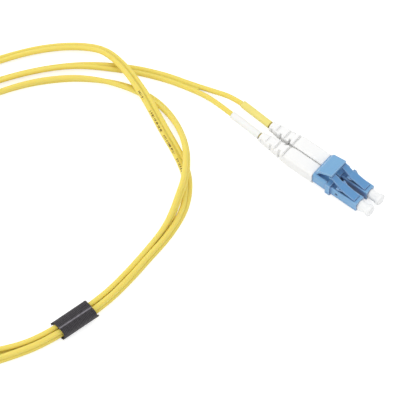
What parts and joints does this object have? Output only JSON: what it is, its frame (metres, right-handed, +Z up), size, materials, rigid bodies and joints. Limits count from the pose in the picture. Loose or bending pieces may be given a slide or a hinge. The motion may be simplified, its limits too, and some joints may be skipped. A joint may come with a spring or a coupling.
{
  "type": "duplex fibre patch cord",
  "caption": "Duplex LC to LC fibre patch cord, loosely coiled and tied, with sprung latches, thumb triggers, boots and dust caps.",
  "frame": {"origin": "on the floor, under the middle of the near connector's clip, midway between its two plugs", "axes": "+X along the near connector towards its ferrules, +Y to its left-hand plug (yellow sleeve), +Z up from the floor"},
  "size_m": [0.1801, 0.17, 0.011],
  "materials": {
    "blue_plastic": "satin",
    "white_boot": "soft matte",
    "cap_plastic": "translucent",
    "yellow_jacket": "matte",
    "yellow_sleeve": "matte",
    "white_sleeve": "matte",
    "strap_fabric": "woven",
    "zirconia": "polished ceramic",
    "nickel_brass": "turned",
    "spring_steel": "drawn wire",
    "crimp_brass": "crimped",
    "buffer": "smooth"
  },
  "bodies": {
    "cord_set": {"plug_housing_a": "blue_plastic", "ferrule_spring_a": "spring_steel", "backbone_a": "blue_plastic", "crimp_sleeve_a": "crimp_brass", "fibre_a": "buffer", "boot_a": "white_boot", "id_sleeve_a": "yellow_sleeve", "plug_housing_b": "blue_plastic", "ferrule_spring_b": "spring_steel", "backbone_b": "blue_plastic", "crimp_sleeve_b": "crimp_brass", "fibre_b": "buffer", "boot_b": "white_boot", "id_sleeve_b": "white_sleeve", "duplex_clip": "blue_plastic", "far_plug_housing_a": "blue_plastic", "far_ferrule_spring_a": "spring_steel", "far_backbone_a": "blue_plastic", "far_crimp_sleeve_a": "crimp_brass", "far_fibre_a": "buffer", "far_boot_a": "white_boot", "far_id_sleeve_a": "yellow_sleeve", "far_plug_housing_b": "blue_plastic", "far_ferrule_spring_b": "spring_steel", "far_backbone_b": "blue_plastic", "far_crimp_sleeve_b": "crimp_brass", "far_fibre_b": "buffer", "far_boot_b": "white_boot", "far_id_sleeve_b": "white_sleeve", "far_duplex_clip": "blue_plastic", "cord_a": "yellow_jacket", "cord_b": "yellow_jacket", "cable_strap": "strap_fabric"},
    "latch_arm_a": {"latch_a": "blue_plastic"},
    "ferrule_set_a": {"ferrule_a": "zirconia", "ferrule_flange_a": "nickel_brass"},
    "cap_a": {"dust_cap_a": "cap_plastic"},
    "latch_arm_b": {"latch_b": "blue_plastic"},
    "ferrule_set_b": {"ferrule_b": "zirconia", "ferrule_flange_b": "nickel_brass"},
    "cap_b": {"dust_cap_b": "cap_plastic"},
    "thumb_plate": {"trigger": "blue_plastic"},
    "far_latch_arm_a": {"far_latch_a": "blue_plastic"},
    "far_ferrule_set_a": {"far_ferrule_a": "zirconia", "far_ferrule_flange_a": "nickel_brass"},
    "far_cap_a": {"far_dust_cap_a": "cap_plastic"},
    "far_latch_arm_b": {"far_latch_b": "blue_plastic"},
    "far_ferrule_set_b": {"far_ferrule_b": "zirconia", "far_ferrule_flange_b": "nickel_brass"},
    "far_cap_b": {"far_dust_cap_b": "cap_plastic"},
    "far_thumb_plate": {"far_trigger": "blue_plastic"}
  },
  "joints": [
    {"name": "trigger_press", "type": "hinge", "parent": "cord_set", "child": "thumb_plate", "pos_m": [-0.002, 0, 0.0069], "axis": [0, 1, 0], "range_deg": [0, 14], "stiffness_Nm_per_rad": 0.03},
    {"name": "latch_a_press", "type": "hinge", "parent": "cord_set", "child": "latch_arm_a", "pos_m": [0.01513, 0.00313, 0.0053], "axis": [0, -1, 0], "range_deg": [0, 7.7]},
    {"name": "ferrule_a_float", "type": "slide", "parent": "cord_set", "child": "ferrule_set_a", "axis": [-1, 0, 0], "range_m": [0, 0.0006], "stiffness_N_per_m": 1000, "springref_m": -0.005, "deforming": ["ferrule_spring_a"]},
    {"name": "cap_a_pull", "type": "slide", "parent": "cord_set", "child": "cap_a", "axis": [1, 0, 0], "range_m": [0, 0.012]},
    {"name": "latch_b_press", "type": "hinge", "parent": "cord_set", "child": "latch_arm_b", "pos_m": [0.01513, -0.00313, 0.0053], "axis": [0, -1, 0], "range_deg": [0, 7.7]},
    {"name": "ferrule_b_float", "type": "slide", "parent": "cord_set", "child": "ferrule_set_b", "axis": [-1, 0, 0], "range_m": [0, 0.0006], "stiffness_N_per_m": 1000, "springref_m": -0.005, "deforming": ["ferrule_spring_b"]},
    {"name": "cap_b_pull", "type": "slide", "parent": "cord_set", "child": "cap_b", "axis": [1, 0, 0], "range_m": [0, 0.012]},
    {"name": "far_trigger_press", "type": "hinge", "parent": "cord_set", "child": "far_thumb_plate", "pos_m": [-0.1515, -0.1375, 0.0069], "axis": [1, 0, 0], "range_deg": [0, 14], "stiffness_Nm_per_rad": 0.03},
    {"name": "far_latch_a_press", "type": "hinge", "parent": "cord_set", "child": "far_latch_arm_a", "pos_m": [-0.15463, -0.15463, 0.0053], "axis": [-1, 0, 0], "range_deg": [0, 7.7]},
    {"name": "far_ferrule_a_float", "type": "slide", "parent": "cord_set", "child": "far_ferrule_set_a", "axis": [0, 1, 0], "range_m": [0, 0.0006], "stiffness_N_per_m": 1000, "springref_m": -0.005, "deforming": ["far_ferrule_spring_a"]},
    {"name": "far_cap_a_pull", "type": "slide", "parent": "cord_set", "child": "far_cap_a", "axis": [0, -1, 0], "range_m": [0, 0.012]},
    {"name": "far_latch_b_press", "type": "hinge", "parent": "cord_set", "child": "far_latch_arm_b", "pos_m": [-0.14838, -0.15463, 0.0053], "axis": [-1, 0, 0], "range_deg": [0, 7.7]},
    {"name": "far_ferrule_b_float", "type": "slide", "parent": "cord_set", "child": "far_ferrule_set_b", "axis": [0, 1, 0], "range_m": [0, 0.0006], "stiffness_N_per_m": 1000, "springref_m": -0.005, "deforming": ["far_ferrule_spring_b"]},
    {"name": "far_cap_b_pull", "type": "slide", "parent": "cord_set", "child": "far_cap_b", "axis": [0, -1, 0], "range_m": [0, 0.012]}
  ],
  "couplings": [
    {"joint": "latch_a_press", "follows": "trigger_press", "ratio": 0.53},
    {"joint": "latch_b_press", "follows": "trigger_press", "ratio": 0.53},
    {"joint": "far_latch_a_press", "follows": "far_trigger_press", "ratio": 0.53},
    {"joint": "far_latch_b_press", "follows": "far_trigger_press", "ratio": 0.53}
  ]
}
